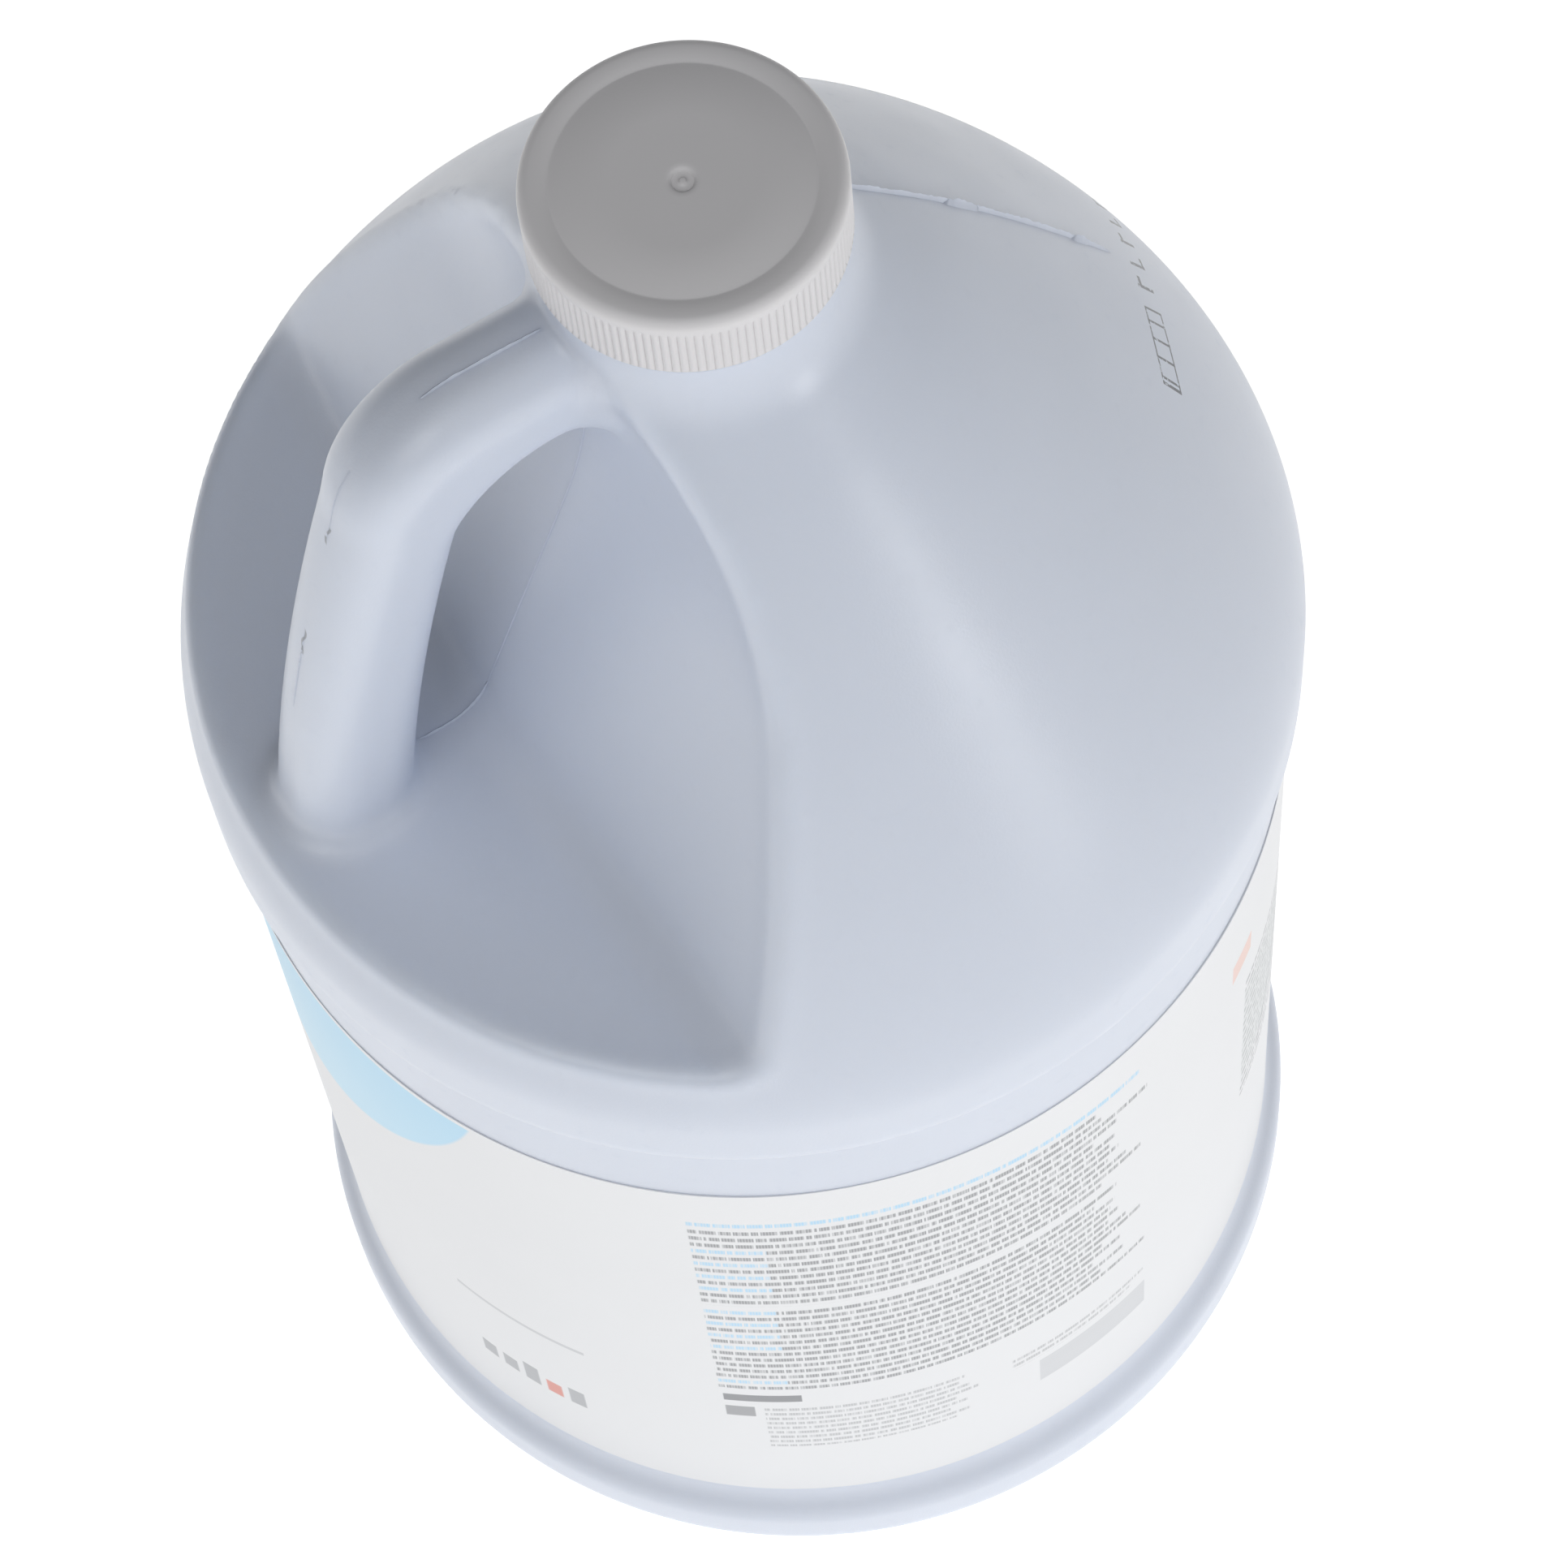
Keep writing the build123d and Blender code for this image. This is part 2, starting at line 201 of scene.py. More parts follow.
def handle_distance(x, y, z):
    """Distance to the arm, elbow and grip as one rounded bar."""
    reach = GRIP_REACH + (GRIP_LEVEL - z) * math.tan(GRIP_LEAN) + grip_bow(z)
    outer = -(x + reach) * math.cos(GRIP_LEAN)
    outside = round_and(z - ARM_TOP, outer, ELBOW_OUTSIDE)
    inner = outer + HANDLE_THICK
    inside = round_and(z - ARM_TOP + HANDLE_THICK, inner, ELBOW_INSIDE)
    side_view = np.maximum(outside, -inside)
    bar = round_and(side_view, np.abs(y) - HANDLE_WIDE / 2, HANDLE_CORNER)
    bar = np.maximum(bar, GRIP_END - z)
    return np.maximum(bar, x + NECK_RADIUS / 2)


def bottle_distance(points):
    """Distance in millimetres from each point to the outside of the bottle's upper form."""
    x, y, z = points[..., 0], points[..., 1], points[..., 2]
    side = turned_distance(x, y, z)
    pocket = pocket_distance(x, y, z)
    bead = RIDGE_BEAD * np.exp(-(side**2 + pocket**2) / (2 * RIDGE_ROUND**2))
    notched = round_and(side, -pocket, RIDGE_ROUND) - bead
    levels = (FLOOR_HEIGHT, 225, 250, 272, ARM_TOP, NECK_TOP)
    blend = np.interp(z, levels, (4.0, 4.5, 7.0, 7.0, 2.6, 1.6))
    return round_or(notched, handle_distance(x, y, z), blend)


def distance_and_way(points, inset):
    """Distance to the inset skin and the unit way out of it, from central differences."""
    reach = 0.05
    slope = np.empty_like(points)
    for axis in range(3):
        step = np.zeros(3)
        step[axis] = reach
        slope[:, axis] = bottle_distance(points + step) - bottle_distance(points - step)
    slope /= 2 * reach
    size = np.maximum(np.linalg.norm(slope, axis=1), 1e-6)
    return (bottle_distance(points) + inset) / size, slope / size[:, None]


# ---------------------------------------------------------------- mesh building


class Skin:
    """Corners and faces of one mesh, gathered from several stretches."""

    def __init__(self):
        self.corners = []
        self.faces = []
        self.count = 0

    def add(self, corners, faces, flip=False):
        start = self.count
        self.corners.append(np.asarray(corners, float))
        self.count += len(corners)
        for face in faces:
            order = reversed(face) if flip else face
            self.faces.append([start + int(corner) for corner in order])
        return start

    def object(self, name, material, sharp=None):
        mesh = bpy.data.meshes.new(name)
        mesh.from_pydata((np.concatenate(self.corners) * MM).tolist(), [], self.faces)
        mesh.validate()
        mesh.shade_smooth()
        if sharp:
            mesh.set_sharp_from_angle(angle=math.radians(sharp))
        mesh.materials.append(material)
        piece = bpy.data.objects.new(name, mesh)
        bpy.context.scene.collection.objects.link(piece)
        return piece


def net_surface(inset, cell):
    """Quads over the bottle's upper form, one corner in each grid cell that the skin crosses."""
    half = RIM_RADIUS + 3 * cell
    across = np.arange(-half, half + cell, cell)
    rows = int(round((FORM_TOP - FORM_BOTTOM) / cell))
    heights = np.linspace(FORM_BOTTOM, FORM_TOP - inset * 2, rows + 1)
    grid = np.empty((len(across), len(across), len(heights)), np.float32)
    for number, x in enumerate(across):
        y, z = np.meshgrid(across, heights, indexing="ij")
        grid[number] = bottle_distance(np.stack([np.full_like(y, x), y, z], -1)) + inset
    solid = grid < 0
    counts = np.zeros(tuple(n - 1 for n in grid.shape), np.int8)
    picks = [(a, b, c) for a in (0, 1) for b in (0, 1) for c in (0, 1)]
    window = {0: slice(0, -1), 1: slice(1, None)}
    for pick in picks:
        counts += solid[tuple(window[p] for p in pick)]
    active = (counts > 0) & (counts < 8)
    number_of = np.full(active.shape, -1, np.int64)
    cells = np.argwhere(active)
    number_of[active] = np.arange(len(cells))
    total = np.zeros((len(cells), 3))
    hits = np.zeros(len(cells))
    for start in picks:
        for axis in range(3):
            if start[axis]:
                continue
            low = cells + start
            high = low.copy()
            high[:, axis] += 1
            a, b = grid[tuple(low.T)], grid[tuple(high.T)]
            cut = (a < 0) != (b < 0)
            part = np.where(cut, a / np.where(cut, a - b, 1), 0)
            spot = low.astype(float)
            spot[:, axis] += part
            total[cut] += spot[cut]
            hits += cut
    spots = total / hits[:, None]
    corners = np.stack(
        [
            across[0] + spots[:, 0] * cell,
            across[0] + spots[:, 1] * cell,
            np.interp(spots[:, 2], np.arange(len(heights)), heights),
        ],
        1,
    )
    quads = []
    for axis in range(3):
        u, v = (axis + 1) % 3, (axis + 2) % 3
        a = solid[tuple(slice(0, -1) if k == axis else slice(1, -1) for k in range(3))]
        b = solid[tuple(slice(1, None) if k == axis else slice(1, -1) for k in range(3))]
        for leaving in (True, False):
            edges = np.argwhere((a & ~b) if leaving else (~a & b))
            edges[:, u] += 1
            edges[:, v] += 1
            ring = []
            for du, dv in ((-1, -1), (0, -1), (0, 0), (-1, 0)):
                around = edges.copy()
                around[:, u] += du
                around[:, v] += dv
                ring.append(number_of[tuple(around.T)])
            quad = np.stack(ring, 1)
            quads.append(quad if leaving else quad[:, ::-1])
    return corners, np.concatenate(quads)


def open_edge_loops(quads):
    """Closed loops of corners along the open edges, in the faces' own direction."""
    tail = quads.ravel()
    head = np.roll(quads, -1, axis=1).ravel()
    size = int(quads.max()) + 1
    forward = set((tail * size + head).tolist())
    following = {}
    for a, b in zip(tail.tolist(), head.tolist()):
        if b * size + a not in forward:
            following[a] = b
    loops = []
    while following:
        start, corner = following.popitem()
        loop = [start]
        while corner != start:
            loop.append(corner)
            corner = following.pop(corner)
        loops.append(loop)
    return loops


def settle(corners, quads, fixed, inset, rounds):
    """Spread the corners evenly over the skin and bring each one onto it."""
    edges = np.concatenate([quads[:, [0, 1]], quads[:, [1, 2]], quads[:, [2, 3]], quads[:, [3, 0]]])
    edges = np.unique(np.sort(edges, axis=1), axis=0)
    degree = np.bincount(edges.ravel(), minlength=len(corners))[:, None]
    free = np.ones(len(corners), bool)
    free[fixed] = False
    for turn in range(rounds + 2):
        away, way = distance_and_way(corners, inset)
        step = -np.clip(away, -1, 1)[:, None] * way
        if turn < rounds:
            middle = np.zeros_like(corners)
            for axis in range(3):
                middle[:, axis] = np.bincount(
                    edges[:, 0], corners[edges[:, 1], axis], len(corners)
                ) + np.bincount(edges[:, 1], corners[edges[:, 0], axis], len(corners))
            shift = 0.6 * (middle / degree - corners)
            step += shift - (shift * way).sum(1)[:, None] * way
        corners[free] += step[free]
    return corners


def upper_form(inset, cell, rounds):
    """Upper form of the bottle with its bottom and top loops drawn to true circles."""
    corners, quads = net_surface(inset, cell)
    used = np.unique(quads)
    renumber = np.full(len(corners), -1)
    renumber[used] = np.arange(len(used))
    corners, quads = corners[used], renumber[quads]
    loops = sorted(open_edge_loops(quads), key=lambda loop: corners[loop[0], 2])
    loops = [loop for loop in loops if len(loop) > 30]
    bottom, top = loops[0], loops[-1]
    for loop, height, radius in (
        (bottom, FORM_BOTTOM, PANEL_RADIUS - inset),
        (top, FORM_TOP - inset * 2, NECK_RADIUS - inset),
    ):
        away = np.hypot(corners[loop, 0], corners[loop, 1])
        corners[loop, 0] *= radius / away
        corners[loop, 1] *= radius / away
        corners[loop, 2] = height
    corners = settle(corners, quads, bottom + top, inset, rounds)
    return corners, quads, bottom, top


def rings(profile, segments, thread=None):
    """Corners of one circle for each profile point, and the quads between the circles."""
    angles = np.linspace(0, 2 * math.pi, segments, endpoint=False)
    corners = []
    for radius, height in profile:
        reach = np.full(segments, float(radius))
        if thread:
            reach = thread(angles, height, radius)
        corners.append(
            np.stack([reach * np.cos(angles), reach * np.sin(angles), np.full(segments, height)], 1)
        )
    faces = []
    for row in range(len(profile) - 1):
        low, high = row * segments, (row + 1) * segments
        for k in range(segments):
            n = (k + 1) % segments
            faces.append((low + k, low + n, high + n, high + k))
    return np.concatenate(corners), faces


def zip_loops(skin, lower, upper, flip=False):
    """Triangles between two loops round the axis, each a list of corner numbers."""
    corners = np.concatenate(skin.corners)

    def by_angle(loop):
        angles = np.arctan2(corners[loop, 1], corners[loop, 0])
        order = np.argsort(angles)
        return [loop[k] for k in order], angles[order]

    low, low_angles = by_angle(list(lower))
    high, high_angles = by_angle(list(upper))
    i = j = 0
    while i < len(low) or j < len(high):
        next_low = low_angles[(i + 1) % len(low)] + (2 * math.pi if i + 1 >= len(low) else 0)
        next_high = high_angles[(j + 1) % len(high)] + (2 * math.pi if j + 1 >= len(high) else 0)
        a, b = low[i % len(low)], high[j % len(high)]
        if j >= len(high) or (i < len(low) and next_low <= next_high):
            face = (a, low[(i + 1) % len(low)], b)
            i += 1
        else:
            face = (a, high[(j + 1) % len(high)], b)
            j += 1
        skin.faces.append(list(reversed(face)) if flip else list(face))


def arc_points(centre, radius, start, end, count):
    """Points of an arc in the profile plane, angles in degrees."""
    return [
        (
            centre[0] + radius * math.cos(math.radians(angle)),
            centre[1] + radius * math.sin(math.radians(angle)),
        )
        for angle in np.linspace(start, end, count)
    ]


def base_profile(inset):
    """From the middle of the push-up out over the stand ring and up to the upper form."""
    points = [(0.02, PUSH_UP_HEIGHT + inset), (PUSH_UP_RADIUS / 2, PUSH_UP_HEIGHT + inset)]
    bend = s_bend(PUSH_UP_HEIGHT, PUSH_UP_RADIUS, -PUSH_UP_HEIGHT, PUSH_UP_RUN, 8)
    points += [(radius, height + inset) for height, radius in bend]
    heel = BULGE_RADIUS - FOOT_ROUND
    points += arc_points((heel, FOOT_ROUND), FOOT_ROUND - inset, -90, 0, 16)
    points.append((BULGE_RADIUS - inset, BULGE_TOP))
    cove = s_bend(BULGE_RADIUS, BULGE_TOP, PANEL_RADIUS - BULGE_RADIUS, DRAW_IN_HEIGHT, 10)
    points += [(radius - inset, height) for radius, height in cove[1:]]
    last = cove[-1][1]
    for height in np.linspace(last, FORM_BOTTOM - 1.5, 6)[1:]:
        points.append((PANEL_RADIUS - inset, height))
    return points


def thread_relief(angles, height, radius):
    """Reach of the mouth's outer wall at a height, the one-start thread standing on it."""
    if radius != FINISH_RADIUS:
        return np.full(len(angles), float(radius))
    top = MOUTH - THREAD_DROP - THREAD_ROOT / 2
    start = top - THREAD_PITCH * THREAD_TURNS
    reach = np.zeros(len(angles))
    for turn in (0, 1):
        along = angles / (2 * math.pi) + turn
        off = np.abs(height - start - THREAD_PITCH * along)
        flank = np.clip((THREAD_ROOT / 2 - off) / ((THREAD_ROOT - THREAD_CREST) / 2), 0, 1)
        ends = np.clip((THREAD_TURNS - along) / 0.05, 0, 1) * np.clip(along / 0.05, 0, 1)
        reach = np.maximum(reach, THREAD_DEPTH * flank * ends)
    return FINISH_RADIUS + reach


def finish_profile():
    """From the neck over its ledge, up the threaded wall, over the lip and down the bore."""
    points = [(NECK_RADIUS, FORM_TOP + 0.3)]
    points += arc_points((NECK_RADIUS - 0.5, NECK_TOP - 0.5), 0.5, 0, 90, 6)
    points.append((FINISH_RADIUS + 0.35, NECK_TOP))
    points.append((FINISH_RADIUS + 0.1, NECK_TOP + 0.1))
    for height in np.linspace(NECK_TOP + 0.35, MOUTH - 0.5, 36):
        points.append((FINISH_RADIUS, height))
    points += arc_points((FINISH_RADIUS - 0.45, MOUTH - 0.45), 0.45, 0, 90, 5)
    points += arc_points((BORE_RADIUS + 0.4, MOUTH - 0.4), 0.4, 90, 180, 5)
    points.append((BORE_RADIUS, NECK_TOP - WALL + 0.4))
    points += arc_points((BORE_RADIUS + 0.4, NECK_TOP - WALL + 0.4), 0.4, 180, 270, 4)[1:]
    points.append((NECK_RADIUS - WALL - 0.4, NECK_TOP - WALL))
    points.append((NECK_RADIUS - WALL, NECK_TOP - WALL - 0.4))
    return points


def ridge_along(skin, path, ways, height, half_width):
    """A thin raised line along a path on the skin: the flash where the mould halves met."""
    count = len(path)
    rise = np.asarray(height)
    corners = []
    for k in range(count):
        ahead = path[min(k + 1, count - 1)] - path[max(k - 1, 0)]
        side = np.cross(ways[k], ahead)
        side /= np.linalg.norm(side)
        foot = path[k] - 0.12 * ways[k]
        corners += [foot - half_width * side, path[k] + rise[k] * ways[k], foot + half_width * side]
    faces = [(2, 1, 0)]
    for k in range(count - 1):
        a, b = 3 * k, 3 * (k + 1)
        for i in range(3):
            j = (i + 1) % 3
            faces.append((a + i, a + j, b + j, b + i))
    last = 3 * (count - 1)
    faces.append((last, last + 1, last + 2))
    skin.add(corners, faces)


def on_parting_plane(guide):
    """Guide points brought onto the bottle's skin in the plane y = 0, with the way out there."""
    path = np.array([(x, 0.0, z) for x, z in guide])
    for _ in range(6):
        away, way = distance_and_way(path, 0)
        path -= away[:, None] * way
        path[:, 1] = 0
    return path, distance_and_way(path, 0)[1]


def spaced(guide, step=0.6):
    """Points every step along straight runs between guide points."""
    points = []
    for a, b in zip(guide, guide[1:]):
        count = max(2, int(math.dist(a, b) / step))
        for part in np.linspace(0, 1, count, endpoint=False):
            points.append((a[0] + (b[0] - a[0]) * part, a[1] + (b[1] - a[1]) * part))
    points.append(guide[-1])
    return points


def add_flash(skin):
    """Flash on the shoulder, over the arm, down the grip and round the hand hole."""
    rng = np.random.default_rng(7)
    elbow = GRIP_REACH + (GRIP_LEVEL - ARM_TOP) * math.tan(GRIP_LEAN)
    foot = GRIP_REACH + (GRIP_LEVEL - 210) * math.tan(GRIP_LEAN)
    runs = (
        # guide points x, z; height of the flash; half width; length of each tapered end
        ([(19.4, 284.5), (23, 276.3), (37.7, 259.5), (54.3, 234.3), (58.5, 226)], 0.55, 0.42, 9),
        ([(34.5, 263.3), (40, 256.5)], 0.85, 0.75, 2.5),
        ([(52.8, 236.8), (55.4, 232.2)], 0.75, 0.70, 2),
        ([(-20.5, ARM_TOP), (-38, ARM_TOP)], 0.36, 0.30, 5),
        ([(-elbow - 1, 276), (-elbow - 4, 262)], 0.10, 0.2, 5),
        ([(-foot + 8, 244), (-foot + 4, 226)], 0.16, 0.2, 7),
        ([(-19, 262), (-21.8, 241.8), (-30, 222), (-39, 204)], 0.16, 0.2, 12),
        ([(-36.5, 204), (-44, 199.3), (-49.5, 198.8)], 0.36, 0.3, 3),
    )
    for guide, height, half_width, taper in runs:
        path, ways = on_parting_plane(spaced(guide))
        away = np.concatenate([[0], np.cumsum(np.linalg.norm(np.diff(path, axis=0), axis=1))])
        ends = np.clip(np.minimum(away, away[-1] - away) / taper, 0, 1)
        rough = 0.75 + 0.5 * rng.random(len(path))
        ridge_along(skin, path, ways, height * np.sqrt(ends) * rough - 0.02, half_width)


def make_bottle(material):
    """The blown bottle: outer skin, inner skin and threaded mouth as one closed mesh."""
    skin = Skin()
    cell = 1.3
    segments = 256
    for inset, size, rounds in ((0.0, cell, 5), (WALL, 3.2, 2)):
        inner = inset > 0
        corners, quads, bottom, top = upper_form(inset, size, rounds)
        start = skin.add(corners, quads, inner)
        profile = base_profile(inset)
        base, faces = rings(profile, segments)
        low = skin.add(base, faces, inner)
        middle = [low + k for k in range(segments)]
        skin.faces.append(middle if inner else middle[::-1])
        last = low + (len(profile) - 1) * segments
        zip_loops(skin, range(last, last + segments), [start + k for k in bottom], inner)
        if inner:
            inner_top = [start + k for k in top]
        else:
            outer_top = [start + k for k in top]
    profile = finish_profile()
    corners, faces = rings(profile, segments, thread_relief)
    start = skin.add(corners, faces)
    zip_loops(skin, outer_top, range(start, start + segments))
    last = start + (len(profile) - 1) * segments
    zip_loops(skin, range(last, last + segments), inner_top)
    add_flash(skin)
    return skin.object("bottle_skin", material, 50)


# ---------------------------------------------------------------- cap, liner and label

CAP_RADIUS = 19.75
CAP_BORE = 18.75
CAP_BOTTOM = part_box("screw_cap")[0].z / MM
CAP_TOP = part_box("screw_cap")[1].z / MM
CAP_EDGE = 1.5
RIB_COUNT = 120
RIB_DEPTH = 0.30
RIB_TOP_MARGIN = 2.2
LINER_THICKNESS = 0.9


def rib_relief(angles, height, radius):
    """Reach of the cap's skirt: rounded ribs that run out below its top edge."""
    if radius < CAP_RADIUS - 0.001 or height > CAP_TOP - CAP_EDGE:
        return np.full(len(angles), float(radius))
    fade = np.clip((CAP_TOP - RIB_TOP_MARGIN - height) / 0.5, 0, 1)
    fade = min(fade, np.clip((height - CAP_BOTTOM - 0.15) / 0.3, 0, 1))
    wave = np.abs(np.sin(angles * RIB_COUNT / 2)) ** 0.7
    return radius - RIB_DEPTH * fade * (1 - wave)


def cap_profile():
    """Down the bore's wall from the ceiling, round the lip, up the skirt and over the top."""
    ceiling = MOUTH + LINER_THICKNESS
    points = [(0.02, ceiling), (CAP_BORE - 0.5, ceiling), (CAP_BORE, ceiling - 0.5)]
    thread_top = MOUTH - 3.2
    for turn, reach in ((0.0, 0.0), (0.6, 0.0), (0.95, 0.75), (1.5, 0.75), (1.85, 0.0)):
        points.append((CAP_BORE - reach, thread_top - turn))
    points += [(CAP_BORE, CAP_BOTTOM + 0.3), (CAP_BORE + 0.25, CAP_BOTTOM)]
    points += [(CAP_RADIUS - 0.35, CAP_BOTTOM), (CAP_RADIUS - 0.1, CAP_BOTTOM + 0.08)]
    for height in np.linspace(CAP_BOTTOM + 0.15, CAP_TOP - CAP_EDGE, 22):
        points.append((CAP_RADIUS, height))
    points += arc_points((CAP_RADIUS - CAP_EDGE, CAP_TOP - CAP_EDGE), CAP_EDGE, 0, 90, 12)[1:]
    groove = 16.0
    points += [(groove + 0.35, CAP_TOP), (groove + 0.12, CAP_TOP - 0.12)]
    points += [(groove - 0.12, CAP_TOP - 0.12), (groove - 0.35, CAP_TOP), (9, CAP_TOP - 0.06)]
    points += [(2.4, CAP_TOP), (1.9, CAP_TOP), (1.55, CAP_TOP - 0.12), (1.35, CAP_TOP - 0.45)]
    points += [(0.75, CAP_TOP - 0.5), (0.5, CAP_TOP - 0.42), (0.36, CAP_TOP - 0.16)]
    points += [(0.02, CAP_TOP - 0.12)]
    return points


def make_cap(material):
    """The ribbed cap, turned as one closed form."""
    skin = Skin()
    segments = RIB_COUNT * 10
    profile = cap_profile()
    corners, faces = rings(profile, segments, rib_relief)
    start = skin.add(corners, faces)
    skin.faces.append([start + k for k in range(segments)][::-1])
    last = start + (len(profile) - 1) * segments
    skin.faces.append([last + k for k in range(segments)])
    return skin.object("cap_shell", material, 50)


def make_liner(material):
    """Foam disc pressed by the mouth, with the mouth's faint ring on its underside."""
    skin = Skin()
    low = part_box("cap_liner")[0].z / MM
    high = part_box("cap_liner")[1].z / MM
    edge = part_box("cap_liner")[1].x / MM
    profile = [(0.02, low), (BORE_RADIUS - 0.4, low), (BORE_RADIUS, low + 0.06)]
    profile += [(FINISH_RADIUS, low + 0.06), (FINISH_RADIUS + 0.3, low), (edge - 0.2, low)]
    profile += [(edge, low + 0.2), (edge, high - 0.2), (edge - 0.2, high), (0.02, high)]
    segments = 160
    corners, faces = rings(profile, segments)
    start = skin.add(corners, faces)
    skin.faces.append([start + k for k in range(segments)][::-1])
    last = start + (len(profile) - 1) * segments
    skin.faces.append([last + k for k in range(segments)])
    return skin.object("liner_disc", material, 40)


LABEL_SEAM = 66.0
LABEL_WRAP = 356.0


def make_label(material):
    """Film round the panel: slightly slack, its edges lifting by a hair here and there."""
    low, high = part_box("label")
    bottom, top = low.z / MM, high.z / MM
    columns, rows = 540, 48
    thickness = 0.12
    inside = PANEL_RADIUS + 0.02
    start = LABEL_SEAM + (360 - LABEL_WRAP) / 2
    angles = np.radians(start + np.linspace(0, LABEL_WRAP, columns + 1))
    heights = bottom + (top - bottom) * (0.5 - 0.5 * np.cos(np.linspace(0, math.pi, rows + 1)))
    turn, level = np.meshgrid(angles, heights, indexing="ij")
    near_edge = np.exp(-(top - level) / 4) + np.exp(-(level - bottom) / 4)
    slack = 0.05 * (np.sin(5 * turn + 0.6) + np.sin(11 * turn + level * 0.03 + 1.9)) + 0.1
    lift = np.clip(slack, 0, None) * near_edge * 0.5
    skin = Skin()
    layers = []
    for depth in (0, 1):
        reach = inside + depth * (thickness + lift)
        layers.append(np.stack([reach * np.cos(turn), reach * np.sin(turn), level], -1))
    size = (columns + 1) * (rows + 1)
    index = np.arange(size).reshape(columns + 1, rows + 1)
    a, b, c, d = index[:-1, :-1], index[1:, :-1], index[1:, 1:], index[:-1, 1:]
    outer = np.stack([a, b, c, d], -1).reshape(-1, 4)
    faces = np.concatenate([outer + size, outer[:, ::-1]]).tolist()
    rim = np.concatenate([index[:-1, 0], index[-1, :-1], index[1:, -1][::-1], index[0, 1:][::-1]])
    for k, corner in enumerate(rim):
        follow = rim[(k + 1) % len(rim)]
        faces.append([int(corner), int(follow), int(follow) + size, int(corner) + size])
    skin.add(np.concatenate([layer.reshape(-1, 3) for layer in layers]), faces)
    return skin.object("label_wrap", material, 60)


# ---------------------------------------------------------------- materials


class Value:
    """One number that changes over a surface, with plain arithmetic that lays shader nodes."""

    def __init__(self, tree, socket):
        self.tree = tree
        self.socket = socket

    def math(self, kind, *others):
        node = self.tree.nodes.new("ShaderNodeMath")
        node.operation = kind
        for slot, item in zip(node.inputs, (self, *others)):
            if isinstance(item, Value):
                self.tree.links.new(item.socket, slot)
            else:
                slot.default_value = item
        return Value(self.tree, node.outputs[0])

    def __add__(self, other):
        return self.math("ADD", other)

    def __sub__(self, other):
        return self.math("SUBTRACT", other)

    def __mul__(self, other):
        return self.math("MULTIPLY", other)

    def inverted(self):
        return (self * -1) + 1

    def over(self, edge, soft):
        """0 below edge and 1 above it, with a soft step."""
        node = self.tree.nodes.new("ShaderNodeMapRange")
        self.tree.links.new(self.socket, node.inputs["Value"])
        node.inputs["From Min"].default_value = edge - soft
        node.inputs["From Max"].default_value = edge + soft
        return Value(self.tree, node.outputs[0])

    def between(self, low, high, soft):
        return self.over(low, soft) * self.over(high, soft).inverted()


def new_material(name):
    material = bpy.data.materials.new(name)
    material.use_nodes = True
    return material, material.node_tree, material.node_tree.nodes["Principled BSDF"]


def place(tree):
    """Socket of the surface point in the object's own metres."""
    return tree.nodes.new("ShaderNodeTexCoord").outputs["Object"]


def noise(tree, scale, detail, where):
    node = tree.nodes.new("ShaderNodeTexNoise")
    node.inputs["Scale"].default_value = scale
    node.inputs["Detail"].default_value = detail
    tree.links.new(where, node.inputs["Vector"])
    return Value(tree, node.outputs["Fac"])


def mix_colour(tree, mask, first, second):
    """Colour that goes from first to second where mask is 1; each is a socket or a tuple."""
    node = tree.nodes.new("ShaderNodeMix")
    node.data_type = "RGBA"
    if isinstance(mask, Value):
        tree.links.new(mask.socket, node.inputs["Factor"])
    else:
        node.inputs["Factor"].default_value = mask
    for item, slot in ((first, node.inputs[6]), (second, node.inputs[7])):
        if isinstance(item, tuple):
            slot.default_value = (*item, 1)
        else:
            tree.links.new(item, slot)
    return node.outputs[2]


def moulded_skin_group():
    """Shared surface of moulded plastic: fine grain, a slow waviness and faint handling marks."""
    group = bpy.data.node_groups.new("moulded_skin", "ShaderNodeTree")
    face = group.interface
    for name, value in (("Grain", 1.0), ("Waviness", 1.0), ("Marks", 1.0)):
        socket = face.new_socket(name, in_out="INPUT", socket_type="NodeSocketFloat")
        socket.default_value = value
    for name in ("Height", "Tone", "Dull"):
        face.new_socket(name, in_out="OUTPUT", socket_type="NodeSocketFloat")
    inside = group.nodes.new("NodeGroupInput")
    outside = group.nodes.new("NodeGroupOutput")
    where = place(group)
    grain = Value(group, inside.outputs["Grain"])
    wave = Value(group, inside.outputs["Waviness"])
    marks = Value(group, inside.outputs["Marks"])
    fine = noise(group, 2600, 2, where)
    slow = noise(group, 26, 2, where)
    cloud = noise(group, 60, 3, where)
    scuff = noise(group, 420, 4, where).over(0.66, 0.05)
    height = (fine - 0.5) * grain * 0.02 + (slow - 0.5) * wave * 0.25
    tone = (cloud - 0.5) * marks * 0.03 + scuff * marks * 0.01
    dull = (cloud - 0.5) * marks * 0.12 + scuff * marks * 0.08
    for value, name in ((height, "Height"), (tone, "Tone"), (dull, "Dull")):
        group.links.new(value.socket, outside.inputs[name])
    return group


